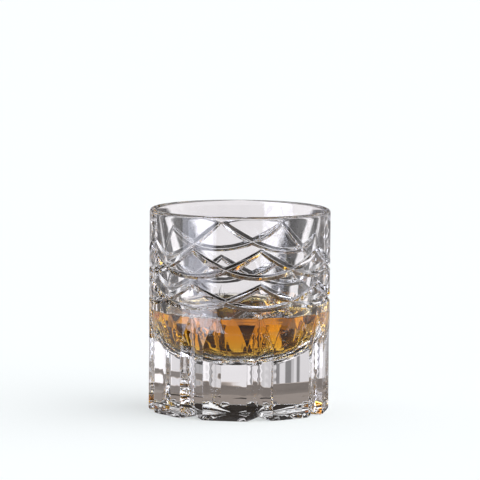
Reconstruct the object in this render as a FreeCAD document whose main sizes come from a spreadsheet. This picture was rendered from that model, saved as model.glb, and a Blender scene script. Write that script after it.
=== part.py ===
import FreeCAD, Part
import math
import os
import Sketcher

"""Cut-crystal whiskey tumbler holding a short pour.

Frame: +Z up, origin at the centre of the plane that the foot rests on, millimetres.
The cut pattern repeats every 45 degrees and is mirror-symmetric about the -Y direction,
where the tips of two scallops meet above a vertical flute.
"""

V = FreeCAD.Vector

# name, value, what it sets
DIMENSIONS = [
    ("outer_radius", 42.5, "outside radius of the uncut wall"),
    ("total_height", 95.0, "foot plane to the top of the rim"),
    ("rim_round", 1.45, "radius of the rounded rim"),
    ("foot_round", 0.8, "radius where the wall turns under the foot"),
    ("flare_radius", 900.0, "radius of the inner wall between bowl and rim"),
    ("bowl_slope", 5.2, "lean of the inner wall just above the bowl bottom"),
    ("bowl_radius", 34.7, "inner radius where the bowl bottom starts"),
    ("bowl_start", 45.5, "height where the bowl bottom starts"),
    ("bowl_corner", 22.0, "radius of the turn from wall to bowl bottom"),
    ("base_thickness", 22.3, "solid glass under the bowl"),
    ("cut_count", 8, "repeats of the pattern around the axis"),
    ("upper_low", 66.9, "height of the lowest point of an upper scallop"),
    ("upper_tilt", 46.0, "tilt of the plane of an upper scallop"),
    ("lower_low", 52.4, "height of the lowest point of a lower scallop"),
    ("lower_tilt", 42.0, "tilt of the plane of a lower scallop"),
    ("scallop_depth", 1.3, "depth of a scallop cut at its middle"),
    ("scallop_tip_depth", 0.9, "depth of a scallop cut where it meets the next but one"),
    ("scallop_half_angle", 50.0, "half of the angle of the scallop V"),
    ("scallop_end", 45.5, "angle from its middle at which a scallop stops"),
    ("panel_half_span", 14.0, "half of the angle that a flat panel spans"),
    ("panel_shoulder", 34.0, "height where a panel starts to lean out"),
    ("panel_top", 50.3, "height of the tip of a panel"),
    ("flute_depth", 2.4, "depth of a vertical flute below the uncut wall"),
    ("flute_half_width", 6.2, "half width of a flute at its ridges"),
    ("flute_shoulder", 34.0, "height where a flute starts to run out"),
    ("flute_top", 50.3, "height of the tip of a flute"),
    ("star_height", 2.0, "height of a star cut at the edge of the foot"),
    ("star_half_width", 6.0, "half width of a star cut at the edge of the foot"),
    ("star_inner", 3.0, "radius where a star cut runs out"),
    ("liquid_level", 47.5, "height of the liquid surface"),
]
SIZE = {name: value for name, value, _ in DIMENSIONS}

# how far a cutter reaches outside the glass, so that it never ends on a face
REACH = 3.5
BELOW_FOOT = 1.0


def make_sheet(doc):
    """Put every driving dimension in a spreadsheet under its own alias."""
    sheet = doc.addObject("Spreadsheet::Sheet", "Sizes")
    for row, (name, value, note) in enumerate(DIMENSIONS, start=1):
        sheet.set(f"A{row}", name)
        sheet.set(f"B{row}", str(value))
        sheet.setAlias(f"B{row}", name)
        sheet.set(f"C{row}", note)
    doc.recompute()


def origin_feature(body, role):
    """Return one of the body's own origin planes or axes."""
    return next(f for f in body.Origin.OriginFeatures if f.Role == role)


def new_sketch(body, name, role, offset=None):
    """Add a sketch on one of the body's origin planes."""
    sketch = body.newObject("Sketcher::SketchObject", name)
    sketch.AttachmentSupport = (origin_feature(body, role), "")
    sketch.MapMode = "FlatFace"
    if offset is not None:
        sketch.AttachmentOffset = offset
    return sketch


def constrain(sketch, kind, *args):
    """Add a constraint and return its index."""
    return sketch.addConstraint(Sketcher.Constraint(kind, *args))


def drive(sketch, name, expression, kind, *args):
    """Add a named dimension and drive it from the sheet."""
    index = constrain(sketch, kind, *args)
    sketch.renameConstraint(index, name)
    sketch.setExpression(f"Constraints.{name}", expression)


def add_line(sketch, start, end):
    """Add a line and return its index."""
    return sketch.addGeometry(Part.LineSegment(start, end), False)


def add_arc(sketch, centre, start, end):
    """Add an arc that runs anticlockwise from start to end and return its index."""
    a = math.atan2(start.y - centre.y, start.x - centre.x)
    b = math.atan2(end.y - centre.y, end.x - centre.x)
    if b < a:
        b += 2 * math.pi
    circle = Part.Circle(centre, V(0, 0, 1), (start - centre).Length)
    return sketch.addGeometry(Part.ArcOfCircle(circle, a, b), False)


def add_polygon(sketch, corners):
    """Draw a closed polygon; each corner is (x, x expression, y, y expression)."""
    count = len(corners)
    points = [V(x, y, 0) for x, _, y, _ in corners]
    for i in range(count):
        add_line(sketch, points[i], points[(i + 1) % count])
    for i in range(count):
        constrain(sketch, "Coincident", i, 2, (i + 1) % count, 1)
    for i, (x, x_expression, y, y_expression) in enumerate(corners):
        drive(sketch, f"across_{i}", x_expression, "DistanceX", -1, 1, i, 1, x)
        drive(sketch, f"up_{i}", y_expression, "DistanceY", -1, 1, i, 1, y)


def bowl_points():
    """Centres and joints of the two tangent arcs that make the bottom of the bowl."""
    lean = math.radians(SIZE["bowl_slope"])
    corner = SIZE["bowl_corner"]
    floor = SIZE["base_thickness"]
    start = V(SIZE["bowl_radius"], SIZE["bowl_start"], 0)
    corner_centre = start + V(-math.cos(lean), math.sin(lean), 0) * corner
    drop = corner_centre.y - floor
    bottom = (corner_centre.x**2 + drop**2 - corner**2) / (2 * (drop - corner))
    bottom_centre = V(0, floor + bottom, 0)
    joint = bottom_centre + (corner_centre - bottom_centre).normalize() * bottom
    return start, corner_centre, joint, bottom_centre


def flare_points():
    """Rim centre, flare centre and the joints of the flare with the wall and the rim."""
    lean = math.radians(SIZE["bowl_slope"])
    flare = SIZE["flare_radius"]
    rim = SIZE["rim_round"]
    rim_centre = V(SIZE["outer_radius"] - rim, SIZE["total_height"] - rim, 0)
    start = V(SIZE["bowl_radius"], SIZE["bowl_start"], 0)
    outward = V(math.cos(lean), -math.sin(lean), 0)
    upward = V(math.sin(lean), math.cos(lean), 0)
    gap = start + outward * flare - rim_centre
    along = gap.dot(upward)
    slide = -along - math.sqrt(along**2 - gap.Length**2 + (flare - rim) ** 2)
    wall_joint = start + upward * slide
    flare_centre = wall_joint + outward * flare
    rim_joint = flare_centre + (rim_centre - flare_centre).normalize() * flare
    return rim_centre, flare_centre, wall_joint, rim_joint


def add_bowl(sketch, wall_top):
    """Draw the bowl wall and the two arcs of its bottom; return the wall and bottom indexes."""
    start, corner_centre, joint, bottom_centre = bowl_points()
    floor = V(0, SIZE["base_thickness"], 0)
    wall = add_line(sketch, start, wall_top)
    corner = add_arc(sketch, corner_centre, joint, start)
    bottom = add_arc(sketch, bottom_centre, floor, joint)
    constrain(sketch, "Tangent", wall, 1, corner, 2)
    constrain(sketch, "Tangent", corner, 1, bottom, 2)
    constrain(sketch, "PointOnObject", bottom, 3, -2)
    constrain(sketch, "PointOnObject", bottom, 1, -2)
    drive(sketch, "bowl_radius", "Sizes.bowl_radius", "DistanceX", -1, 1, wall, 1, start.x)
    drive(sketch, "bowl_start", "Sizes.bowl_start", "DistanceY", -1, 1, wall, 1, start.y)
    drive(sketch, "floor", "Sizes.base_thickness", "DistanceY", -1, 1, bottom, 1, floor.y)
    drive(sketch, "corner", "Sizes.bowl_corner", "Radius", corner, SIZE["bowl_corner"])
    lean = math.radians(90 - SIZE["bowl_slope"])
    drive(sketch, "lean", "(90 - Sizes.bowl_slope) * 1 deg", "Angle", wall, lean)
    return wall, bottom


def revolve(body, sketch, name):
    """Turn a sketch a full turn about the body's Z axis."""
    turned = body.newObject("PartDesign::Revolution", name)
    turned.Profile = sketch
    turned.ReferenceAxis = (sketch, ["V_Axis"])
    turned.Angle = 360
    body.Document.recompute()
    return turned


def check_cut(before, feature):
    """Stop if a cut removed nothing."""
    if not feature.Shape.Volume < before - 0.5:
        raise RuntimeError(f"{feature.Name} removed nothing")


def repeat_cut(body, cut, before, name):
    """Repeat a cut around the axis and make the pattern the body's tip."""
    body.Document.recompute()
    check_cut(before, cut)
    once = cut.Shape.Volume
    pattern = body.newObject("PartDesign::PolarPattern", name)
    pattern.Originals = [cut]
    pattern.Axis = (origin_feature(body, "Z_Axis"), [""])
    pattern.Angle = 360
    pattern.setExpression("Occurrences", "Sizes.cut_count")
    body.Tip = pattern
    body.Document.recompute()
    check_cut(once, pattern)


def turn_blank(body):
    """Turned blank of the tumbler: foot, straight wall, rounded rim and bowl."""
    radius = SIZE["outer_radius"]
    round_foot = SIZE["foot_round"]
    wall_foot = V(radius, round_foot, 0)
    wall_top = V(radius, SIZE["total_height"] - SIZE["rim_round"], 0)
    rim_centre, flare_centre, wall_joint, rim_joint = flare_points()
    sketch = new_sketch(body, "blank_profile", "XZ_Plane")
    foot_end = V(radius - round_foot, 0, 0)
    foot = add_line(sketch, V(0, 0, 0), foot_end)
    heel = add_arc(sketch, foot_end + V(0, round_foot, 0), foot_end, wall_foot)
    wall = add_line(sketch, wall_foot, wall_top)
    rim = add_arc(sketch, rim_centre, wall_top, rim_joint)
    flare = add_arc(sketch, flare_centre, rim_joint, wall_joint)
    inner, bottom = add_bowl(sketch, wall_joint)
    axis = add_line(sketch, V(0, SIZE["base_thickness"], 0), V(0, 0, 0))
    constrain(sketch, "Coincident", foot, 1, -1, 1)
    constrain(sketch, "Horizontal", foot)
    constrain(sketch, "Tangent", foot, 2, heel, 1)
    constrain(sketch, "Tangent", heel, 2, wall, 1)
    constrain(sketch, "Vertical", wall)
    constrain(sketch, "Tangent", wall, 2, rim, 1)
    constrain(sketch, "Tangent", rim, 2, flare, 1)
    constrain(sketch, "Tangent", flare, 2, inner, 2)
    constrain(sketch, "Coincident", bottom, 1, axis, 1)
    constrain(sketch, "Coincident", axis, 2, -1, 1)
    drive(sketch, "foot_round", "Sizes.foot_round", "Radius", heel, round_foot)
    drive(sketch, "rim_round", "Sizes.rim_round", "Radius", rim, SIZE["rim_round"])
    drive(sketch, "flare", "Sizes.flare_radius", "Radius", flare, SIZE["flare_radius"])
    drive(sketch, "outer", "Sizes.outer_radius", "DistanceX", -1, 1, wall, 1, radius)
    rim_height = "Sizes.total_height - Sizes.rim_round"
    drive(sketch, "rim_height", rim_height, "DistanceY", -1, 1, wall, 2, wall_top.y)
    return revolve(body, sketch, "blank")


def cut_panels(body, base):
    """Flat panels between the flutes: upright, then leaning out to a pointed top."""
    radius = SIZE["outer_radius"]
    face = radius * math.cos(math.radians(SIZE["panel_half_span"]))
    shoulder = SIZE["panel_shoulder"]
    rise = SIZE["panel_top"] - shoulder
    lean = (radius - face) / rise
    top = shoulder + (radius + REACH - face) / lean
    turn = FreeCAD.Rotation(V(0, 1, 0), 22.5)
    sketch = new_sketch(body, "panel_profile", "YZ_Plane", FreeCAD.Placement(V(), turn))
    face_x = "-Sizes.outer_radius * cos(Sizes.panel_half_span * 1 deg)"
    outer_x = f"-Sizes.outer_radius - {REACH}"
    top_y = (
        f"Sizes.panel_shoulder + (Sizes.panel_top - Sizes.panel_shoulder)"
        f" * (1 + {REACH} / (Sizes.outer_radius * (1 - cos(Sizes.panel_half_span * 1 deg))))"
    )
    corners = [
        (-face, face_x, -BELOW_FOOT, str(-BELOW_FOOT)),
        (-face, face_x, shoulder, "Sizes.panel_shoulder"),
        (-radius - REACH, outer_x, top, top_y),
        (-radius - REACH, outer_x, -BELOW_FOOT, str(-BELOW_FOOT)),
    ]
    add_polygon(sketch, corners)
    cut = body.newObject("PartDesign::Pocket", "panel_cut")
    cut.Profile = sketch
    cut.Midplane = True
    cut.setExpression("Length", "Sizes.outer_radius")
    repeat_cut(body, cut, base.Shape.Volume, "panels")


def cut_flutes(body, base):
    """Vertical V flutes between the panels, running out straight to a pointed top."""
    radius = SIZE["outer_radius"]
    half_width = SIZE["flute_half_width"]
    depth = SIZE["flute_depth"]
    shoulder = SIZE["flute_shoulder"]
    run_out = SIZE["flute_top"] - shoulder
    widening = half_width / (math.sqrt(radius**2 - half_width**2) - radius + depth)
    widening_text = (
        "(Sizes.flute_half_width / (sqrt(Sizes.outer_radius ^ 2 - Sizes.flute_half_width ^ 2)"
        " - Sizes.outer_radius + Sizes.flute_depth))"
    )
    # the last section lies as far outside the wall as the flute is deep
    levels = [
        ("flute_foot", -BELOW_FOOT, str(-BELOW_FOOT), 1),
        ("flute_bend", shoulder, "Sizes.flute_shoulder", 1),
        ("flute_end", shoulder + 2 * run_out, "2 * Sizes.flute_top - Sizes.flute_shoulder", -1),
    ]
    sections = []
    for name, level, level_text, sign in levels:
        offset = FreeCAD.Placement(V(0, 0, level), FreeCAD.Rotation())
        sketch = new_sketch(body, name, "XY_Plane", offset)
        sketch.setExpression("AttachmentOffset.Base.z", level_text)
        half_mouth = (REACH + sign * depth) * widening
        half_text = f"({REACH} + {sign} * Sizes.flute_depth) * {widening_text}"
        valley_text = f"{sign} * Sizes.flute_depth - Sizes.outer_radius"
        mouth_text = f"-Sizes.outer_radius - {REACH}"
        corners = [
            (0, "0", sign * depth - radius, valley_text),
            (-half_mouth, f"-{half_text}", -radius - REACH, mouth_text),
            (half_mouth, half_text, -radius - REACH, mouth_text),
        ]
        add_polygon(sketch, corners)
        sections.append(sketch)
    cut = body.newObject("PartDesign::SubtractiveLoft", "flute_cut")
    cut.Profile = sections[0]
    cut.Sections = sections[1:]
    cut.Ruled = True
    repeat_cut(body, cut, base.Shape.Volume, "flutes")


def cut_scallops(body, base, row):
    """One row of interlaced scallops: a V cut that follows an ellipse in a tilted plane."""
    tilt = math.radians(SIZE[f"{row}_tilt"])
    valley = SIZE["outer_radius"] - SIZE["scallop_depth"]
    tip = SIZE["outer_radius"] - SIZE["scallop_tip_depth"]
    # seen from above, the ellipse passes the tip radius 45 degrees from its middle
    half_across = tip * valley / math.sqrt(2 * valley**2 - tip**2)
    half_along = valley / math.cos(tilt)
    end_turn = math.atan(math.tan(math.radians(SIZE["scallop_end"])) * valley / half_across)
    lift = V(0, 0, SIZE[f"{row}_low"] + valley * math.tan(tilt))
    turn = FreeCAD.Rotation(V(1, 0, 0), SIZE[f"{row}_tilt"])
    path = new_sketch(body, f"{row}_path", "XY_Plane", FreeCAD.Placement(lift, turn))
    ellipse = Part.Ellipse(V(0, -half_along, 0), V(half_across, 0, 0), V(0, 0, 0))
    path.addGeometry(Part.ArcOfEllipse(ellipse, -end_turn, end_turn), False)
    path.setExpression("AttachmentOffset.Rotation.Angle", f"Sizes.{row}_tilt * 1 deg")
    lift_height = (
        f"Sizes.{row}_low + (Sizes.outer_radius - Sizes.scallop_depth)"
        f" * tan(Sizes.{row}_tilt * 1 deg)"
    )
    path.setExpression("AttachmentOffset.Base.z", lift_height)
    body.Document.recompute()

    curve = path.Shape.Edges[0]
    start = curve.valueAt(curve.FirstParameter)
    heading = curve.tangentAt(curve.FirstParameter)
    outward = V(heading.y, -heading.x, 0).normalize()
    if outward.dot(start) < 0:
        outward = -outward
    up = V(0, 0, 1)
    section_turn = FreeCAD.Rotation(outward, up, outward.cross(up), "ZXY")
    sketch = new_sketch(
        body, f"{row}_profile", "XY_Plane", FreeCAD.Placement(start, section_turn)
    )
    half_mouth = REACH * math.tan(math.radians(SIZE["scallop_half_angle"]))
    mouth_y = f"{REACH} * tan(Sizes.scallop_half_angle * 1 deg)"
    corners = [
        (0, "0", 0, "0"),
        (REACH, str(REACH), half_mouth, mouth_y),
        (REACH, str(REACH), -half_mouth, f"-{mouth_y}"),
    ]
    add_polygon(sketch, corners)
    cut = body.newObject("PartDesign::SubtractivePipe", f"{row}_cut")
    cut.Profile = sketch
    cut.Spine = (path, ["Edge1"])
    cut.Mode = "Binormal"
    cut.Binormal = up
    repeat_cut(body, cut, base.Shape.Volume, f"{row}_scallops")


def cut_star(body, base):
    """Star of V cuts under the foot, one below each flute, rising towards the edge."""
    radius = SIZE["outer_radius"]
    inner = SIZE["star_inner"]
    slope = SIZE["star_height"] / (radius - inner)
    widening = SIZE["star_half_width"] / SIZE["star_height"]
    slope_text = "Sizes.star_height / (Sizes.outer_radius - Sizes.star_inner)"
    widening_text = "Sizes.star_half_width / Sizes.star_height"
    sections = []
    for name, distance in (("star_inside", 0.0), ("star_outside", radius + REACH)):
        offset = FreeCAD.Placement(V(0, 0, distance), FreeCAD.Rotation())
        sketch = new_sketch(body, name, "XZ_Plane", offset)
        ridge = slope * (distance - inner)
        ridge_text = f"{slope_text} * ({distance} - Sizes.star_inner)"
        half = widening * (ridge + BELOW_FOOT)
        half_text = f"{widening_text} * ({ridge_text} + {BELOW_FOOT})"
        corners = [
            (0, "0", ridge, ridge_text),
            (-half, f"-{half_text}", -BELOW_FOOT, str(-BELOW_FOOT)),
            (half, half_text, -BELOW_FOOT, str(-BELOW_FOOT)),
        ]
        add_polygon(sketch, corners)
        sections.append(sketch)
    cut = body.newObject("PartDesign::SubtractiveLoft", "star_cut")
    cut.Profile = sections[0]
    cut.Sections = sections[1:]
    cut.Ruled = True
    repeat_cut(body, cut, base.Shape.Volume, "star")


def make_glass(doc):
    """The tumbler: one piece of cut crystal."""
    body = doc.addObject("PartDesign::Body", "tumbler_glass")
    body.Label = "tumbler_glass"
    turn_blank(body)
    cut_panels(body, body.Tip)
    cut_flutes(body, body.Tip)
    cut_scallops(body, body.Tip, "upper")
    cut_scallops(body, body.Tip, "lower")
    cut_star(body, body.Tip)
    return body


def make_whiskey(doc):
    """The liquid: it fills the bowl up to a flat surface."""
    body = doc.addObject("PartDesign::Body", "whiskey")
    body.Label = "whiskey"
    level = SIZE["liquid_level"]
    lean = math.tan(math.radians(SIZE["bowl_slope"]))
    edge = V(SIZE["bowl_radius"] + (level - SIZE["bowl_start"]) * lean, level, 0)
    sketch = new_sketch(body, "whiskey_profile", "XZ_Plane")
    wall, bottom = add_bowl(sketch, edge)
    surface = add_line(sketch, edge, V(0, level, 0))
    axis = add_line(sketch, V(0, level, 0), V(0, SIZE["base_thickness"], 0))
    constrain(sketch, "Coincident", wall, 2, surface, 1)
    constrain(sketch, "Coincident", surface, 2, axis, 1)
    constrain(sketch, "Coincident", axis, 2, bottom, 1)
    constrain(sketch, "Horizontal", surface)
    constrain(sketch, "Vertical", axis)
    drive(sketch, "level", "Sizes.liquid_level", "DistanceY", -1, 1, axis, 1, level)
    revolve(body, sketch, "pour")
    return body


def export_nodes(doc, nodes):
    """Check the document and write one STEP file for each node."""
    doc.recompute()
    for item in doc.Objects:
        if "Invalid" in item.State or "Error" in item.State:
            raise RuntimeError(f"{item.Name} failed: {item.State}")
    for node in nodes:
        if node.Shape.isNull() or not node.Shape.isValid():
            raise RuntimeError(f"{node.Label} has no valid shape")
        node.Shape.exportStep(f"parts/{node.Label}.step")
        print(node.Label, round(node.Shape.Volume, 1), node.Shape.BoundBox)


os.makedirs("parts", exist_ok=True)
document = FreeCAD.newDocument("tumbler")
make_sheet(document)
export_nodes(document, [make_glass(document), make_whiskey(document)])
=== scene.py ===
import math

import bmesh
import bpy
import numpy as np
from mathutils import Matrix, Vector
from mathutils.geometry import delaunay_2d_cdt


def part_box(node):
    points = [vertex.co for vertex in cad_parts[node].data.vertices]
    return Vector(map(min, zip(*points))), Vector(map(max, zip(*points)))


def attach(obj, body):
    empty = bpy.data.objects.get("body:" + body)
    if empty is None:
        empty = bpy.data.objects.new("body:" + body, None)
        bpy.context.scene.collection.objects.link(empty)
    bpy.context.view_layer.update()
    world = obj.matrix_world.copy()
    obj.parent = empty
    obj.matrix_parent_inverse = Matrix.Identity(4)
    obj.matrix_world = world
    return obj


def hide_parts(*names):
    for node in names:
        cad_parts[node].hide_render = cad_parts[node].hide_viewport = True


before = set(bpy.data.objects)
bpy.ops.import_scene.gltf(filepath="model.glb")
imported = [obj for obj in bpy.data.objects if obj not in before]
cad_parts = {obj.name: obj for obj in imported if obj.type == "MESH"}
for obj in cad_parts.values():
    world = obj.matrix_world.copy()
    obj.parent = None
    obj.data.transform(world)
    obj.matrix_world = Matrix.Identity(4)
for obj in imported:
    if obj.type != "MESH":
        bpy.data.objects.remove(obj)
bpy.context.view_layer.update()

# Cut-crystal tumbler with a short pour of whiskey.
#
# Shapes are in millimetres and radians until a mesh is written, which is in metres. Materials and
# the stage are in metres, and the places of the lights are in degrees.
# The cut pattern repeats every 45 degrees and each repeat is mirrored, so the wall and the foot
# are meshed once, over the 22.5 degrees from the middle of a flute to the middle of a panel.

MM = 0.001
_, glass_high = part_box("tumbler_glass")
pour_low, pour_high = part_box("whiskey")
RADIUS = round(glass_high.x / MM, 1)
HEIGHT = round(glass_high.z / MM, 1)
LEVEL = round(pour_high.z / MM, 2)
FLOOR = round(pour_low.z / MM, 2)

# turned blank
RIM_ROUND = 1.45
FOOT_ROUND = 0.8
FLARE_RADIUS = 900.0
BOWL_SLOPE = math.radians(5.2)
BOWL_RADIUS = 34.7
BOWL_START = 45.5
BOWL_CORNER = 22.0

# the cuts repeat round the axis; angles of one repeat run from the middle of a flute
REPEATS = 8
HALF_REPEAT = math.pi / REPEATS

# scallops: the line that a cut follows round the wall, its depth at the middle and at the ends, how
# fast it deepens on the slopes, and for each row the height of its middle and the tilt of its plane
SCALLOP_VALLEY = RADIUS - 1.3
SCALLOP_TIP = RADIUS - 0.9
SCALLOP_WIDEN = math.tan(math.radians(50))
SCALLOP_MIDDLE = 1.05
SCALLOP_END = 0.95
SCALLOP_SLOPE = 2.1
SCALLOPS = [(66.9, math.radians(46.0)), (52.4, math.radians(42.0))]

# flat panels, V flutes and the star under the foot
PANEL_FACE = RADIUS * math.cos(math.radians(14))
PANEL_SHOULDER = 34.0
PANEL_TOP = 50.3
PANEL_LEAN = (RADIUS - PANEL_FACE) / (PANEL_TOP - PANEL_SHOULDER)
FLUTE_DEPTH = 2.4
FLUTE_HALF_WIDTH = 6.2
FLUTE_SHOULDER = 34.0
FLUTE_TOP = 50.3
FLUTE_WIDEN = FLUTE_HALF_WIDTH / (
    math.sqrt(RADIUS**2 - FLUTE_HALF_WIDTH**2) - RADIUS + FLUTE_DEPTH
)
STAR_HEIGHT = 2.0
STAR_HALF_WIDTH = 6.0
STAR_INNER = 3.0
STAR_SLOPE = STAR_HEIGHT / (RADIUS - STAR_INNER)
STAR_ROUND = 0.08

# liquid: how far it reaches into the glass, how far it climbs the wall, and the rings of its surface
OVERLAP = 0.12
CLIMB = 0.8
CLIMB_REACH = 1.5
SURFACE_FIRST = 0.05
SURFACE_LAST = 12.0
SURFACE_RINGS = 26

# bubbles along the waterline; angles are from -Y, towards +X
BUBBLE_SEED = 7
BUBBLE_TRIES = 420
BUBBLE_SMALL = 0.4
BUBBLE_LARGE = 1.4
BUBBLE_BAND = 3.6
BUBBLE_SKIN = 0.05
BUBBLE_WALL_GAP = 0.1
BUBBLE_CROWDING = 0.9
BUBBLE_UNDERCUT = -0.1
BUBBLE_STEPS = 8
BUBBLE_RING = 16
BUBBLE_FROM = math.radians(-66)
BUBBLE_TO = math.radians(-20)

# rounding that polishing leaves on the cut edges
EDGE_ROUND = 0.06
VALLEY_ROUND = 0.12
FOOT_BEVEL = 0.3

# steps round a ring, with RING_STEPS in half a repeat, and along each stretch of the turned profile
RING_STEPS = 8
RING_COUNT = RING_STEPS * 2 * REPEATS
RIM_STEPS = 13
FLARE_STEPS = 24
SLOPE_STEPS = 12
CORNER_STEPS = 26
BOTTOM_STEPS = 22

# mesh of the cut faces: step along a crease, rows of points beside it, and the least gaps there
CREASE_STEP = 0.45
CREASE_ROWS = (-0.22, -0.1, 0.1, 0.22)
ROW_MARGIN = 0.05
ROW_GAP = 0.07
# lattice between creases: spacings, then height of a row, margin and least gap as shares of spacing
WALL_SPACING = 2.2
FOOT_SPACING = 2.6
LATTICE_ROW = 0.87
LATTICE_MARGIN = 0.3
LATTICE_GAP = 0.45
SAME_POINT = 1e-4
EDGE_ROUNDS = 12

# in metres: points closer than this are welded, and shorter edges than this are dissolved
WELD_GAP = 2e-6
SHORT_EDGE = 1e-6

# ripple of the lower facets, in metres: depth, stretch of the noise's x, y and z, then the range of
# heights with its softness, and the least distance from the axis
RIPPLE_DEPTH = 0.00012
RIPPLE_SCALE = (55.0, 55.0, 1.0)
RIPPLE_HEIGHTS = (0.003, 0.036, 0.002)
RIPPLE_OUTSIDE = 0.036

CRYSTAL_IOR = 1.53
WHISKEY_IOR = 1.36
WHISKEY_COLOUR = (0.93, 0.75, 0.0, 1)
WHISKEY_DENSITY = 90.0


# ---------------------------------------------------------------- surfaces


def blend_low(a, b, reach=EDGE_ROUND):
    """The lower of two heights, rounded where they meet."""
    near = np.maximum(reach - np.abs(a - b), 0.0)
    return np.minimum(a, b) - near * near / (4 * reach)


def panel_face(z):
    """Distance of the flat panel from the axis."""
    return PANEL_FACE + PANEL_LEAN * np.maximum(z - PANEL_SHOULDER, 0.0)


def panel_surface(angle, z):
    """Radius of the flat panel, whose middle is half a repeat from the flute."""
    return panel_face(z) / np.cos(HALF_REPEAT - angle)


def flute_valley(z):
    """Distance of a flute's valley from the axis."""
    above = np.maximum(z - FLUTE_SHOULDER, 0.0) / (FLUTE_TOP - FLUTE_SHOULDER)
    return RADIUS - FLUTE_DEPTH * (1 - above)


def flute_surface(angle, z):
    """Radius of the V flute whose valley is at angle 0."""
    side = np.sqrt(np.sin(angle) ** 2 + (VALLEY_ROUND / RADIUS) ** 2)
    return flute_valley(z) / (np.cos(angle) - side / FLUTE_WIDEN)


def scallop_line(angle, row):
    """Height and distance from the axis of the bottom of a scallop cut; angle is from its middle."""
    low, tilt = SCALLOPS[row]
    valley = SCALLOP_VALLEY
    across = SCALLOP_TIP * valley / math.sqrt(2 * valley**2 - SCALLOP_TIP**2)
    turn = np.arctan(np.tan(angle) * valley / across)
    x = across * np.sin(turn)
    y = valley * np.cos(turn)
    # the wheel bites deepest on the slopes of the swag
    along = np.clip(angle / (2 * HALF_REPEAT), 0, 1) ** 2
    ease = SCALLOP_SLOPE + SCALLOP_MIDDLE - SCALLOP_END
    bite = SCALLOP_MIDDLE + SCALLOP_SLOPE * along - ease * along**2
    return low + (valley - y) * math.tan(tilt), RADIUS - bite


def scallop_surface(angle, z, row):
    """Radius of a scallop cut."""
    height, distance = scallop_line(angle, row)
    side = np.sqrt((z - height) ** 2 + VALLEY_ROUND**2) - VALLEY_ROUND / 2
    return distance + side / SCALLOP_WIDEN


def wall_radius(angle, z):
    """Radius of the finished outer wall for angles from 0 to half a repeat."""
    angle = np.asarray(angle, float)
    z = np.asarray(z, float)
    below = np.clip(FOOT_ROUND - z, 0.0, FOOT_ROUND)
    radius = RADIUS - FOOT_ROUND + np.sqrt(FOOT_ROUND**2 - below**2)
    radius = blend_low(radius, panel_surface(angle, z))
    radius = blend_low(radius, flute_surface(angle, z))
    for row in range(len(SCALLOPS)):
        radius = blend_low(radius, scallop_surface(angle, z, row))
        radius = blend_low(radius, scallop_surface(2 * HALF_REPEAT - angle, z, row))
    return radius


def star_height(x, y):
    """Height of the star cut above the foot plane; y runs out along its valley and x across it."""
    side = np.sqrt(x**2 + VALLEY_ROUND**2)
    height = STAR_SLOPE * (y - STAR_INNER) - side * STAR_HEIGHT / STAR_HALF_WIDTH
    return -blend_low(-height, 0.0 * height, STAR_ROUND)


def foot_edge(angle):
    """Height and radius of the edge between the wall and the foot."""
    height = np.zeros_like(angle)
    for _ in range(EDGE_ROUNDS):
        radius = wall_radius(angle, height)
        height = star_height(radius * np.sin(angle), radius * np.cos(angle))
    return height, radius


# ---------------------------------------------------------------- creases


def scallop_creases():
    """Valleys, edges and crossings of the scallop cuts, as lists of (angle, height)."""
    lines = []
    angle = np.linspace(0, HALF_REPEAT, 48)
    for row in range(len(SCALLOPS)):
        near, near_distance = scallop_line(angle, row)
        far, far_distance = scallop_line(2 * HALF_REPEAT - angle, row)
        for height, distance in ((near, near_distance), (far, far_distance)):
            half = (RADIUS - distance) * SCALLOP_WIDEN
            lines += [(angle, height), (angle, height + half), (angle, height - half)]
        crossing = (near + far + SCALLOP_WIDEN * (far_distance - near_distance)) / 2
        inside = near_distance + (crossing - near) / SCALLOP_WIDEN < RADIUS
        lines.append((angle[inside], crossing[inside]))
    return lines


def flute_half_span(z):
    """Angle at which the flute meets the uncut wall."""
    lean = math.atan(1 / FLUTE_WIDEN)
    reach = np.minimum(flute_valley(z) / RADIUS * math.cos(lean), math.cos(lean))
    return np.arccos(reach) - lean


def panel_edge(z):
    """Angle at which the panel meets the uncut wall."""
    return HALF_REPEAT - np.arccos(np.minimum(panel_face(z) / RADIUS, 1.0))


def wall_creases():
    """Every crease of the wall, as lists of (angle, height)."""
    # rows crowd towards the top, where a pointed edge turns quickly
    crowded = 1 - np.linspace(1, 0, 48) ** 2
    ridge = np.linspace(0, PANEL_SHOULDER, 60)
    arch = FLUTE_SHOULDER + (FLUTE_TOP - FLUTE_SHOULDER) * crowded
    panel = PANEL_SHOULDER + (PANEL_TOP - PANEL_SHOULDER) * crowded
    shoulder = np.linspace(float(panel_edge(0.0)), HALF_REPEAT, 14)
    bend = np.linspace(0, float(flute_half_span(0.0)), 9)
    return scallop_creases() + [
        ((flute_half_span(ridge) + panel_edge(ridge)) / 2, ridge),
        (flute_half_span(arch), arch),
        (panel_edge(panel), panel),
        (shoulder, np.full_like(shoulder, PANEL_SHOULDER)),
        (bend, np.full_like(bend, FLUTE_SHOULDER)),
    ]


# ---------------------------------------------------------------- meshing


def resample(points, step):
    """Points at an even step along a polyline, with its ends kept."""
    points = np.asarray(points, float)
    length = np.concatenate([[0], np.cumsum(np.hypot(*np.diff(points, axis=0).T))])
    count = max(2, int(round(length[-1] / step)) + 1)
    even = np.linspace(0, length[-1], count)
    return np.stack([np.interp(even, length, points[:, k]) for k in (0, 1)], axis=1)


def offset_rows(points, distances):
    """Copies of a polyline moved sideways, so that a crease has rows beside it."""
    along = np.gradient(points, axis=0)
    along /= np.maximum(np.hypot(*along.T), 1e-9)[:, None]
    normal = np.stack([-along[:, 1], along[:, 0]], axis=1)
    return [points + normal * d for d in distances]


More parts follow.
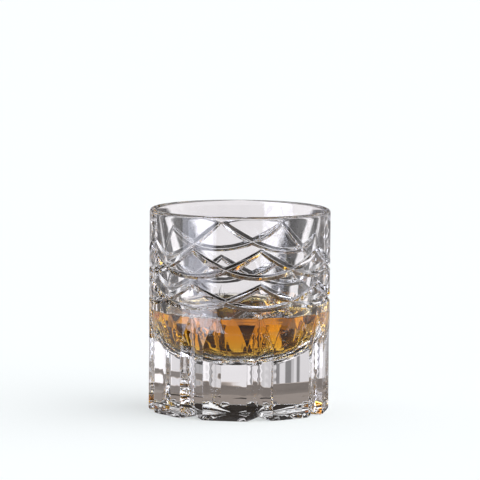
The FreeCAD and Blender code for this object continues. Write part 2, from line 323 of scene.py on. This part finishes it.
def thin_out(points, keep, gap):
    """Drop points that lie within gap of a kept point or of an earlier one."""
    cells = {}

    def clash(p):
        i, j = int(p[0] // gap), int(p[1] // gap)
        for a in (i - 1, i, i + 1):
            for b in (j - 1, j, j + 1):
                for q in cells.get((a, b), ()):
                    if math.hypot(p[0] - q[0], p[1] - q[1]) < gap:
                        return True
        return False

    def add(p):
        cells.setdefault((int(p[0] // gap), int(p[1] // gap)), []).append(p)

    for p in keep:
        add(p)
    chosen = []
    for p in points:
        if not clash(p):
            add(p)
            chosen.append(p)
    return chosen


def triangulate(outline, creases, inside, spacing):
    """Triangulate a region of the plane with its creases as edges and finer rows beside them."""
    lines = [resample(line, CREASE_STEP) for line in creases if len(line) > 1]
    fixed = [tuple(p) for p in outline]
    edges = [(i, (i + 1) % len(fixed)) for i in range(len(fixed))]
    for line in lines:
        first = len(fixed)
        fixed += [tuple(p) for p in line]
        edges += [(first + i, first + i + 1) for i in range(len(line) - 1)]
    beside = [tuple(p) for line in lines for row in offset_rows(line, CREASE_ROWS) for p in row]
    beside = thin_out([p for p in beside if inside(p, ROW_MARGIN)], fixed, ROW_GAP)
    low = np.min(outline, axis=0)
    high = np.max(outline, axis=0)
    lattice = []
    for j, y in enumerate(np.arange(low[1], high[1], spacing * LATTICE_ROW)):
        shift = spacing / 2 if j % 2 else 0.0
        for x in np.arange(low[0] + shift, high[0], spacing):
            if inside((x, y), spacing * LATTICE_MARGIN):
                lattice.append((x, y))
    lattice = thin_out(lattice, fixed + beside, spacing * LATTICE_GAP)
    points = [Vector(p) for p in fixed + beside + lattice]
    verts, _, faces, *_ = delaunay_2d_cdt(points, edges, [], 1, SAME_POINT)
    return np.array([tuple(v) for v in verts]), np.array(faces)


def wall_patch():
    """Half a repeat of the outer wall, as (x, y, z) points and faces."""
    edge_angle = np.linspace(0, HALF_REPEAT, 33)
    edge_z, _ = foot_edge(edge_angle)
    edge_z = edge_z + FOOT_BEVEL
    width = RADIUS * HALF_REPEAT
    top = HEIGHT - RIM_ROUND
    side_z = np.linspace(0, 1, 160)[1:-1]
    top_angle = np.linspace(0, HALF_REPEAT, RING_STEPS + 1)
    outline = [(RADIUS * a, z) for a, z in zip(edge_angle, edge_z)]
    outline += [(width, edge_z[-1] + (top - edge_z[-1]) * f) for f in side_z]
    outline += [(RADIUS * a, top) for a in top_angle[::-1]]
    outline += [(0.0, top + (edge_z[0] - top) * f) for f in side_z]

    def inside(p, margin):
        floor = np.interp(p[0] / RADIUS, edge_angle, edge_z)
        return margin < p[0] < width - margin and floor + margin < p[1] < top - margin

    creases = []
    for angle, height in wall_creases():
        across = np.round(RADIUS * np.asarray(angle), 3)
        creases.append([p for p in zip(across, height) if inside(p, -1e-3)])
    flat, faces = triangulate(outline, creases, inside, WALL_SPACING)
    angle = np.clip(flat[:, 0] / RADIUS, 0, HALF_REPEAT)
    radius = wall_radius(angle, flat[:, 1])
    points = np.stack([radius * np.sin(angle), -radius * np.cos(angle), flat[:, 1]], axis=1)
    return points, faces, edge_angle


def foot_patch(edge_angle):
    """Half a repeat of the underside, up to its bevelled edge, and the bevel."""
    height, radius = foot_edge(edge_angle)
    rim = np.stack([radius * np.sin(edge_angle), radius * np.cos(edge_angle)], axis=1)
    inner = rim * (1 - FOOT_BEVEL / RADIUS)
    reach = np.linspace(1, 0, 42)[1:]
    outline = [tuple(p) for p in inner]
    outline += [tuple(inner[-1] * f) for f in reach]
    outline += [tuple(inner[0] * f) for f in reach[::-1][1:]]
    tangent = math.tan(HALF_REPEAT)
    lengths = np.hypot(*inner.T)

    def inside(p, margin):
        if p[0] < margin or p[0] > p[1] * tangent - margin:
            return False
        return math.hypot(*p) < np.interp(math.atan2(p[0], p[1]), edge_angle, lengths) - margin

    out = np.linspace(STAR_INNER + 0.4, RADIUS, 60)
    side = STAR_SLOPE * (out - STAR_INNER) * STAR_HALF_WIDTH / STAR_HEIGHT
    edge = [(x, y) for x, y in zip(side, out) if inside((x, y), -1e-6)]
    flat, faces = triangulate(outline, [edge], inside, FOOT_SPACING)
    z = star_height(flat[:, 0], flat[:, 1])
    points = np.stack([flat[:, 0], -flat[:, 1], z], axis=1)
    upper, _ = foot_edge(edge_angle)
    wall_z = upper + FOOT_BEVEL
    wall_r = wall_radius(edge_angle, wall_z)
    low = np.stack([inner[:, 0], -inner[:, 1], star_height(inner[:, 0], inner[:, 1])], axis=1)
    high = np.stack([wall_r * np.sin(edge_angle), -wall_r * np.cos(edge_angle), wall_z], axis=1)
    corner = np.stack([rim[:, 0], -rim[:, 1], upper], axis=1)
    middle = (low + high) / 4 + corner / 2
    strip = np.concatenate([low, middle, high])
    count = len(edge_angle)
    strip_faces = []
    for row in (0, 1):
        for i in range(count - 1):
            a = row * count + i
            strip_faces.append((a, a + 1, a + count + 1))
            strip_faces.append((a, a + count + 1, a + count))
    return points, faces[:, ::-1], strip, np.array(strip_faces)


def repeat_patch(points, faces):
    """Mirror half a repeat and turn it round the axis."""
    all_points, all_faces = [], []
    for turn in range(REPEATS):
        angle = turn * 2 * HALF_REPEAT
        c, s = math.cos(angle), math.sin(angle)
        for mirror in (1, -1):
            x = points[:, 0] * mirror
            y = points[:, 1]
            start = sum(len(p) for p in all_points)
            all_points.append(np.stack([c * x - s * y, s * x + c * y, points[:, 2]], axis=1))
            all_faces.append((faces if mirror == 1 else faces[:, ::-1]) + start)
    return np.concatenate(all_points), np.concatenate(all_faces)


# ---------------------------------------------------------------- turned shapes


def arc(centre, radius, first, last, steps):
    """Points (r, z) on an arc."""
    turn = np.linspace(first, last, steps)
    return np.stack([centre[0] + radius * np.cos(turn), centre[1] + radius * np.sin(turn)], axis=1)


def bowl_profile():
    """Inner wall from the wall's top (rim) down to the middle of the bowl, as arcs."""
    lean = BOWL_SLOPE
    start = np.array([BOWL_RADIUS, BOWL_START])
    inward = np.array([-math.cos(lean), math.sin(lean)])
    upward = np.array([math.sin(lean), math.cos(lean)])
    corner_centre = start + inward * BOWL_CORNER
    drop = corner_centre[1] - FLOOR
    bottom = (corner_centre[0] ** 2 + drop**2 - BOWL_CORNER**2) / (2 * (drop - BOWL_CORNER))
    bottom_centre = np.array([0.0, FLOOR + bottom])
    rim_centre = np.array([RADIUS - RIM_ROUND, HEIGHT - RIM_ROUND])
    gap = start - inward * FLARE_RADIUS - rim_centre
    along = gap @ upward
    slide = -along - math.sqrt(along**2 - gap @ gap + (FLARE_RADIUS - RIM_ROUND) ** 2)
    flare_centre = start + upward * slide - inward * FLARE_RADIUS
    to_rim = rim_centre - flare_centre
    rim_turn = math.atan2(to_rim[1], to_rim[0])
    rim = arc(rim_centre, RIM_ROUND, 0, rim_turn, RIM_STEPS)
    flare = arc(flare_centre, FLARE_RADIUS, rim_turn, math.pi - lean, FLARE_STEPS)
    wall = np.linspace(flare[-1], start, SLOPE_STEPS)
    joint_turn = math.atan2(*(corner_centre - bottom_centre)[::-1])
    corner = arc(corner_centre, BOWL_CORNER, -lean, joint_turn, CORNER_STEPS)
    floor = arc(bottom_centre, bottom, joint_turn, -math.pi / 2, BOTTOM_STEPS)
    return np.concatenate([rim, flare[1:], wall[1:], corner[1:], floor[1:]])


def pour_profile(bowl):
    """Surface of the liquid: a flat top that climbs the wall, then the wetted bowl."""
    wet = bowl[bowl[:, 1] < LEVEL]
    first = len(bowl) - len(wet)
    edge = bowl[first] + (bowl[first - 1] - bowl[first]) * (
        (LEVEL - bowl[first][1]) / (bowl[first - 1][1] - bowl[first][1])
    )
    # the liquid reaches a little into the glass, so that light crosses one surface and not two
    side = np.concatenate([[edge], wet]) + np.array([OVERLAP, 0.0])
    side[-1] = (0.0, FLOOR - OVERLAP)
    inward = np.concatenate([[0.0], np.geomspace(SURFACE_FIRST, SURFACE_LAST, SURFACE_RINGS)])
    top = np.stack([edge[0] - inward, LEVEL - CLIMB * (1 - np.exp(-inward / CLIMB_REACH))], 1)
    return np.concatenate([[[0.0, LEVEL - CLIMB]], top[::-1], side])


def bubbles(bowl):
    """Thin domes of liquid crowded along one stretch of the waterline."""
    chance = np.random.default_rng(BUBBLE_SEED)
    wall = np.interp(LEVEL, bowl[::-1, 1][:-RIM_STEPS], bowl[::-1, 0][:-RIM_STEPS])
    placed = []
    domes = []
    for _ in range(BUBBLE_TRIES):
        size = BUBBLE_SMALL + (BUBBLE_LARGE - BUBBLE_SMALL) * chance.random() ** 3
        inward = size + BUBBLE_WALL_GAP + BUBBLE_BAND * chance.random() ** 2
        turn = BUBBLE_FROM + (BUBBLE_TO - BUBBLE_FROM) * chance.random()
        centre = np.array([math.sin(turn), -math.cos(turn)]) * (wall - inward)
        if any(np.hypot(*(centre - c)) < BUBBLE_CROWDING * (size + r) for c, r in placed):
            continue
        placed.append((centre, size))
        height = LEVEL - CLIMB * (1 - math.exp(-inward / CLIMB_REACH))
        outer = arc((0.0, 0.0), size, math.pi / 2, BUBBLE_UNDERCUT, BUBBLE_STEPS)
        inner = arc((0.0, 0.0), size - BUBBLE_SKIN, BUBBLE_UNDERCUT, math.pi / 2, BUBBLE_STEPS)
        profile = np.concatenate([outer, inner])
        profile[[0, -1], 0] = 0.0
        points, faces = turned(profile, BUBBLE_RING)
        domes.append((points + [centre[0], centre[1], height], faces))
    return domes


def turned(profile, count=RING_COUNT):
    """Turn a profile of (r, z) points about the axis; an end on the axis closes to a point."""
    turn = np.linspace(0, 2 * math.pi, count, endpoint=False) - math.pi / 2
    rings = [p for p in profile if p[0] > 0]
    points = [np.stack([r * np.cos(turn), r * np.sin(turn), np.full_like(turn, z)], 1) for r, z in rings]
    step = np.arange(count)
    after = (step + 1) % count
    faces = []
    for row in range(len(rings) - 1):
        low = row * count
        high = low + count
        faces.append(np.stack([low + step, low + after, high + after], 1))
        faces.append(np.stack([low + step, high + after, high + step], 1))
    for pole, ring, wanted in ((profile[0], 0, 1), (profile[-1], len(rings) - 1, -1)):
        if pole[0] == 0:
            tip = np.full_like(step, sum(len(p) for p in points))
            points.append(np.array([[0.0, 0.0, pole[1]]]))
            faces.append(np.stack([ring * count + step, ring * count + after, tip], 1)[:, ::wanted])
    return np.concatenate(points), np.concatenate(faces)


def make_mesh(name, parts, material):
    """One smooth mesh object from several (points, faces) in millimetres, welded where they meet."""
    points, faces = [], []
    for p, f in parts:
        faces.append(f + sum(len(q) for q in points))
        points.append(p)
    mesh = bpy.data.meshes.new(name)
    mesh.from_pydata((np.concatenate(points) * MM).tolist(), [], np.concatenate(faces).tolist())
    weld(mesh)
    mesh.shade_smooth()
    mesh.materials.append(material)
    obj = bpy.data.objects.new(name, mesh)
    bpy.context.scene.collection.objects.link(obj)
    return obj


def weld(mesh):
    """Join points that coincide and drop slivers that close up."""
    work = bmesh.new()
    work.from_mesh(mesh)
    bmesh.ops.remove_doubles(work, verts=work.verts, dist=WELD_GAP)
    bmesh.ops.dissolve_degenerate(work, edges=work.edges, dist=SHORT_EDGE)
    bmesh.ops.recalc_face_normals(work, faces=work.faces)
    work.to_mesh(mesh)
    work.free()


# ---------------------------------------------------------------- materials


class Nodes:
    """Short ways to add nodes to a shader tree; a value may be a number or another node's output."""

    def __init__(self, tree):
        self.tree = tree

    def add(self, kind, values, operation=None, clamp=False):
        """A new node with its first inputs set or linked."""
        node = self.tree.nodes.new(kind)
        if operation:
            node.operation = operation
        if clamp:
            node.use_clamp = True
        for slot, value in zip(node.inputs, values):
            if isinstance(value, bpy.types.NodeSocket):
                self.tree.links.new(value, slot)
            else:
                slot.default_value = value
        return node

    def calc(self, operation, *values, clamp=False):
        """A math node's result."""
        return self.add("ShaderNodeMath", values, operation, clamp).outputs[0]

    def dot(self, a, b):
        """Dot product of two vectors."""
        return self.add("ShaderNodeVectorMath", (a, b), "DOT_PRODUCT").outputs["Value"]

    def plus(self, a, b):
        """Sum of two vectors or colours."""
        return self.add("ShaderNodeVectorMath", (a, b), "ADD").outputs["Vector"]

    def scale(self, vector, factor):
        """A vector or colour times a number."""
        unused = (0, 0, 0)
        node = self.add("ShaderNodeVectorMath", (vector, unused, unused, factor), "SCALE")
        return node.outputs["Vector"]

    def through_glass(self):
        """1 for glossy and transmitted rays, which is how light leaves the glass; 0 for the others."""
        path = self.add("ShaderNodeLightPath", ())
        return self.calc("MAXIMUM", path.outputs["Is Glossy Ray"], path.outputs["Is Transmission Ray"])

    def mix(self, factor, a, b):
        """Colour a where factor is 0, b where it is 1."""
        node = self.add("ShaderNodeMix", ())
        node.data_type = "RGBA"
        for index, value in ((0, factor), (6, a), (7, b)):
            if isinstance(value, bpy.types.NodeSocket):
                self.tree.links.new(value, node.inputs[index])
            else:
                node.inputs[index].default_value = (*value, 1)
        return node.outputs[2]

    def steps(self, value, tones, tint):
        """Tinted grey that runs straight from one (value, level) pair to the next."""
        last = tones[-1][0]
        scaled = self.calc("DIVIDE", value, last, clamp=True)
        node = self.add("ShaderNodeFloatCurve", (1.0, scaled))
        curve = node.mapping.curves[0]
        points = [(place / last, level) for place, level in tones]
        curve.points[0].location = points[0]
        curve.points[1].location = points[-1]
        for place, level in points[1:-1]:
            curve.points.new(place, level)
        for point in curve.points:
            point.handle_type = "VECTOR"
        node.mapping.update()
        return self.scale(tint, node.outputs[0])

    def window(self, value, low, high, soft):
        """1 between low and high, 0 outside, with soft edges."""
        rise = self.calc("DIVIDE", self.calc("SUBTRACT", value, low - soft / 2), soft, clamp=True)
        fall = self.calc("DIVIDE", self.calc("SUBTRACT", high + soft / 2, value), soft, clamp=True)
        return self.calc("MULTIPLY", rise, fall)


def principled(name, **values):
    """A Principled material with the given inputs, by input name with _ for space."""
    material = bpy.data.materials.new(name)
    material.use_nodes = True
    shader = material.node_tree.nodes["Principled BSDF"]
    for key, value in values.items():
        shader.inputs[key.replace("_", " ")].default_value = value
    return material


def crystal_material():
    """Clear polished crystal; the hand-cut facets above the foot keep a faint upright ripple."""
    material = principled(
        "crystal",
        Base_Color=(1, 1, 1, 1),
        Transmission_Weight=1.0,
        Roughness=0.0,
        IOR=CRYSTAL_IOR,
    )
    n = Nodes(material.node_tree)
    place = n.add("ShaderNodeTexCoord", ()).outputs["Object"]
    x, y, z = n.add("ShaderNodeSeparateXYZ", (place,)).outputs
    from_axis = n.calc("SQRT", n.calc("ADD", n.calc("MULTIPLY", x, x), n.calc("MULTIPLY", y, y)))
    outside = n.calc("GREATER_THAN", from_axis, RIPPLE_OUTSIDE)
    rippled = n.calc("MULTIPLY", outside, n.window(z, *RIPPLE_HEIGHTS))
    stretched = n.add("ShaderNodeVectorMath", (place, RIPPLE_SCALE), "MULTIPLY").outputs["Vector"]
    noise = n.add("ShaderNodeTexNoise", (stretched,)).outputs[0]
    noise.node.inputs["Detail"].default_value = 0.0
    bump = n.add("ShaderNodeBump", ())
    bump.inputs["Distance"].default_value = RIPPLE_DEPTH
    material.node_tree.links.new(n.calc("MULTIPLY", noise, rippled), bump.inputs["Height"])
    shader = material.node_tree.nodes["Principled BSDF"]
    material.node_tree.links.new(bump.outputs["Normal"], shader.inputs["Normal"])
    return material


def whiskey_material():
    """Clear amber liquid: its colour comes from absorption, so thick parts are darker."""
    material = principled(
        "whiskey",
        Base_Color=(1, 1, 1, 1),
        Transmission_Weight=1.0,
        Roughness=0.0,
        IOR=WHISKEY_IOR,
    )
    nodes = material.node_tree.nodes
    absorption = nodes.new("ShaderNodeVolumeAbsorption")
    absorption.inputs["Color"].default_value = WHISKEY_COLOUR
    absorption.inputs["Density"].default_value = WHISKEY_DENSITY
    output = nodes["Material Output"]
    material.node_tree.links.new(absorption.outputs["Volume"], output.inputs["Volume"])
    return material


def bubble_material():
    """Foam film: pale, too thin to show the liquid's colour."""
    return principled(
        "bubble_film",
        Base_Color=(0.95, 0.94, 0.92, 1),
        Transmission_Weight=0.5,
        Roughness=0.3,
        IOR=WHISKEY_IOR,
    )


# ---------------------------------------------------------------- build


def make_glass(bowl):
    """The cut crystal: outer wall, foot, bevel and bowl, as one closed surface."""
    wall_points, wall_faces, edge_angle = wall_patch()
    foot_points, foot_faces, strip_points, strip_faces = foot_patch(edge_angle)
    parts = [
        repeat_patch(wall_points, wall_faces),
        repeat_patch(foot_points, foot_faces),
        repeat_patch(strip_points, strip_faces),
        turned(bowl),
    ]
    stand_in(make_mesh("cut_crystal", parts, crystal_material()), "tumbler_glass")


def make_pour(bowl):
    """The liquid and the bubbles along its edge."""
    pour = make_mesh("whiskey_pour", [turned(pour_profile(bowl))], whiskey_material())
    foam = make_mesh("whiskey_bubbles", bubbles(bowl), bubble_material())
    stand_in(pour, "whiskey")
    stand_in(foam, "whiskey")


def stand_in(piece, node):
    """Let a piece stand for a CAD node and move with it."""
    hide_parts(node)
    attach(piece, "root")


bowl_line = bowl_profile()
make_glass(bowl_line)
make_pour(bowl_line)

# ---------------------------------------------------------------- stage

AZIMUTH = math.radians(-13.5)
ELEVATION = math.radians(7.0)
DISTANCE = 2.07
ROLL = math.radians(0.5)
LENS = 330
AIM_HEIGHT = 0.080
FLOOR_HALF = 9

# the camera sees BACKDROP, and the floor is lit by DOME and KEY. A light is an azimuth range from
# straight behind the object, an elevation range and a softness, all in degrees, and a radiance
BACKDROP = (0.93, 0.965, 0.973)
DOME = (0.75, 0.75, 0.75)
KEY = (40, 150, 15, 75, 20, (1.6, 1.6, 1.6))
FLOOR_GLOW = 0.5

# From here to SOFTBOXES: what rays that left the glass find. It isn't a plain studio, and the floor near
# the glass carries a painted shadow and painted caustic light. The places and levels of the strips were
# worked out from the light and dark bands of the reference picture, and the painted floor tones and the
# softboxes were set by it more loosely.
STUDIO_BASE = (0.02, 0.017, 0.015)
# painted shadow and painted caustic light on the floor near the glass, glowing for rays that left the
# glass: distance from the axis and radiance
PAINTED_SHADOW_AND_CAUSTIC_TONES = [
    (0.000, 0.03),
    (0.043, 0.03),
    (0.045, 0.30),
    (0.062, 0.30),
    (0.066, 0.21),
    (0.104, 0.17),
    (0.110, 0.60),
]
# outside the foot, rays steeper than this pass through the floor to the studio
FLOOR_SHALLOW = math.sin(math.radians(12))
# noise that moves the painted tones off their circles: its full swing, its scale, and where it starts
FLOOR_WANDER = 0.12
FLOOR_WANDER_SCALE = 32.0
FLOOR_WANDER_START = 1.4 * RADIUS * MM
# amber tint of the painted shadow and painted caustic light
PAINTED_SHADOW_AND_CAUSTIC_TINT = (1.0, 0.86, 0.78)
# how far the painted floor tones reach, and the softness of their outer edge
PAINTED_SHADOW_REACH = 0.110
PAINTED_SHADOW_SOFT = 0.004
# two tiers of upright strips behind the object: elevation range, softness, then the strips of the
# tier, each an azimuth range and a radiance
TIERS = [
    (-10, 3, 0.8, [
        (-62, -36, 0.9),
        (-36, -32, 0.15),
        (-32, -26.3, 0.7),
        (-26.3, -24.5, 0.2),
        (-24.5, -19, 0.95),
        (-19, -10, 0.3),
        (-10, -5.5, 0.88),
        (-5.5, -2.5, 0.58),
        (-2.5, 2.5, 0.8),
        (2.5, 8, 1.0),
        (8, 20, 0.4),
        (20, 24.2, 0.2),
        (24.2, 26, 0.38),
        (26, 30, 0.7),
        (30, 62, 1.05),
    ]),
    (-95, -10, 0.8, [
        (-24, -19, 1.1),
        (-11.5, -8, 1.0),
        (-3.5, 3.5, 0.85),
        (7.5, 10.5, 0.9),
        (16, 21, 1.1),
    ]),
]
STRIP_TINT = (1.0, 0.97, 1.0)
# azimuth range, elevation range, softness, radiance
SOFTBOXES = [
    (-180, 180, 50, 95, 12, (0.6, 0.6, 0.62)),
    (-60, 60, 22, 32, 3, (1.0, 1.0, 1.02)),
    (-181, -150, -30, -4, 2, (0.42, 0.42, 0.44)),
    (150, 181, -30, -4, 2, (0.42, 0.42, 0.44)),
    (96, 150, -30, -4, 2, (0.42, 0.42, 0.44)),
    (-146, -102, -95, 60, 2, (3.6, 3.7, 4.3)),
    (-100, -60, -95, 30, 6, (0.9, 0.9, 0.95)),
    (58, 95, -95, 30, 6, (0.9, 0.9, 0.92)),
]


def ray_angles(n):
    """Azimuth of a ray from straight behind the object and its elevation, in degrees."""
    direction = n.add("ShaderNodeTexCoord", ()).outputs["Generated"]
    ahead = n.dot(direction, (-math.sin(AZIMUTH), math.cos(AZIMUTH), 0))
    right = n.dot(direction, (math.cos(AZIMUTH), math.sin(AZIMUTH), 0))
    up = n.dot(direction, (0, 0, 1))
    azimuth = n.calc("MULTIPLY", n.calc("ARCTAN2", right, ahead), 180 / math.pi)
    elevation = n.calc("MULTIPLY", n.calc("ARCSINE", up), 180 / math.pi)
    return azimuth, elevation


def make_world():
    """A pale backdrop for the camera, an even dome for the floor and a studio for the glass."""
    world = bpy.data.worlds.new("studio")
    bpy.context.scene.world = world
    world.use_nodes = True
    n = Nodes(world.node_tree)
    azimuth, elevation = ray_angles(n)

    def with_box(colour, az0, az1, el0, el1, soft, level):
        across = n.window(azimuth, az0, az1, soft)
        patch = n.calc("MULTIPLY", across, n.window(elevation, el0, el1, soft))
        return n.plus(colour, n.scale(level, patch))

    studio = STUDIO_BASE
    for box in SOFTBOXES:
        studio = with_box(studio, *box)
    for low, high, soft, strips in TIERS:
        for az0, az1, level in strips:
            tint = tuple(level * part for part in STRIP_TINT)
            studio = with_box(studio, az0, az1, low, high, soft, tint)
    dome = with_box(DOME, *KEY)
    colour = n.mix(n.through_glass(), dome, studio)
    camera_ray = n.add("ShaderNodeLightPath", ()).outputs["Is Camera Ray"]
    colour = n.mix(camera_ray, colour, BACKDROP)
    world.node_tree.links.new(colour, world.node_tree.nodes["Background"].inputs["Color"])


def wandering_distance(n):
    """Distance from the axis on the floor, uneven beyond FLOOR_WANDER_START."""
    position = n.add("ShaderNodeNewGeometry", ()).outputs["Position"]
    distance = n.add("ShaderNodeVectorMath", (position,), "LENGTH").outputs["Value"]
    noise = n.add("ShaderNodeTexNoise", (position,)).outputs[0]
    noise.node.inputs["Scale"].default_value = FLOOR_WANDER_SCALE
    noise.node.inputs["Detail"].default_value = 0.0
    wander = n.calc("MULTIPLY", n.calc("SUBTRACT", noise, 0.5), FLOOR_WANDER)
    wander = n.calc("MULTIPLY", wander, n.calc("GREATER_THAN", distance, FLOOR_WANDER_START))
    return n.calc("ADD", distance, wander)


def floor_with_painted_shadow(n):
    """The floor for rays that left the glass: a glowing painted shadow and painted caustic light near
    it, and clear farther out.

    It is clear for steep rays too, outside the foot, so that they find the studio's strips.
    """
    distance = wandering_distance(n)
    beyond = n.calc("SUBTRACT", distance, PAINTED_SHADOW_REACH - PAINTED_SHADOW_SOFT / 2)
    beyond = n.calc("DIVIDE", beyond, PAINTED_SHADOW_SOFT, clamp=True)
    # painted shadow and caustic light: the tones glow, whatever lights the floor
    tone = n.steps(distance, PAINTED_SHADOW_AND_CAUSTIC_TONES, PAINTED_SHADOW_AND_CAUSTIC_TINT)
    near = n.add("ShaderNodeEmission", (tone, 1.0)).outputs[0]
    clear = n.add("ShaderNodeBsdfTransparent", ((1, 1, 1, 1),)).outputs[0]
    to_glass = n.add("ShaderNodeNewGeometry", ()).outputs["Incoming"]
    steep = n.calc("GREATER_THAN", n.dot(to_glass, (0, 0, 1)), FLOOR_SHALLOW)
    outside = n.calc("GREATER_THAN", distance, RADIUS * MM)
    beyond = n.calc("MAXIMUM", beyond, n.calc("MULTIPLY", steep, outside))
    return n.add("ShaderNodeMixShader", (beyond, near, clear)).outputs[0]


def floor_material():
    """Plain and pale, but rays that left the glass find a painted shadow and painted caustic light near
    it.
    """
    material = principled("floor", Base_Color=(0.9, 0.93, 0.94, 1), Roughness=0.9)
    n = Nodes(material.node_tree)
    glow = n.add("ShaderNodeEmission", ((*BACKDROP, 1), 1.0)).outputs[0]
    lit = material.node_tree.nodes["Principled BSDF"].outputs[0]
    pale = n.add("ShaderNodeMixShader", (FLOOR_GLOW, lit, glow)).outputs[0]
    both = n.add("ShaderNodeMixShader", (n.through_glass(), pale, floor_with_painted_shadow(n))).outputs[0]
    material.node_tree.links.new(both, material.node_tree.nodes["Material Output"].inputs["Surface"])
    return material


def make_floor():
    """One wide square in the foot plane."""
    mesh = bpy.data.meshes.new("floor")
    corners = [(FLOOR_HALF * x, FLOOR_HALF * y, 0) for x, y in ((-1, -1), (1, -1), (1, 1), (-1, 1))]
    mesh.from_pydata(corners, [], [(0, 1, 2, 3)])
    mesh.materials.append(floor_material())
    floor = bpy.data.objects.new("floor", mesh)
    bpy.context.scene.collection.objects.link(floor)


def make_camera():
    """Long lens, a little above the rim, as the picture was taken."""
    data = bpy.data.cameras.new("camera")
    data.lens = LENS
    data.clip_end = 50
    camera = bpy.data.objects.new("camera", data)
    bpy.context.scene.collection.objects.link(camera)
    bpy.context.scene.camera = camera
    level = math.cos(ELEVATION)
    out = Vector((level * math.sin(AZIMUTH), -level * math.cos(AZIMUTH), math.sin(ELEVATION)))
    camera.location = Vector((0, 0, HEIGHT / 2 * MM)) + out * DISTANCE
    aim = Vector((0, 0, AIM_HEIGHT)) - camera.location
    look = aim.to_track_quat("-Z", "Y").to_matrix() @ Matrix.Rotation(ROLL, 3, "Z")
    camera.rotation_euler = look.to_euler()


make_world()
make_floor()
make_camera()

scene = bpy.context.scene
scene.view_settings.view_transform = "Standard"
scene.cycles.max_bounces = 32
scene.cycles.transmission_bounces = 32
scene.cycles.glossy_bounces = 16
scene.cycles.diffuse_bounces = 3
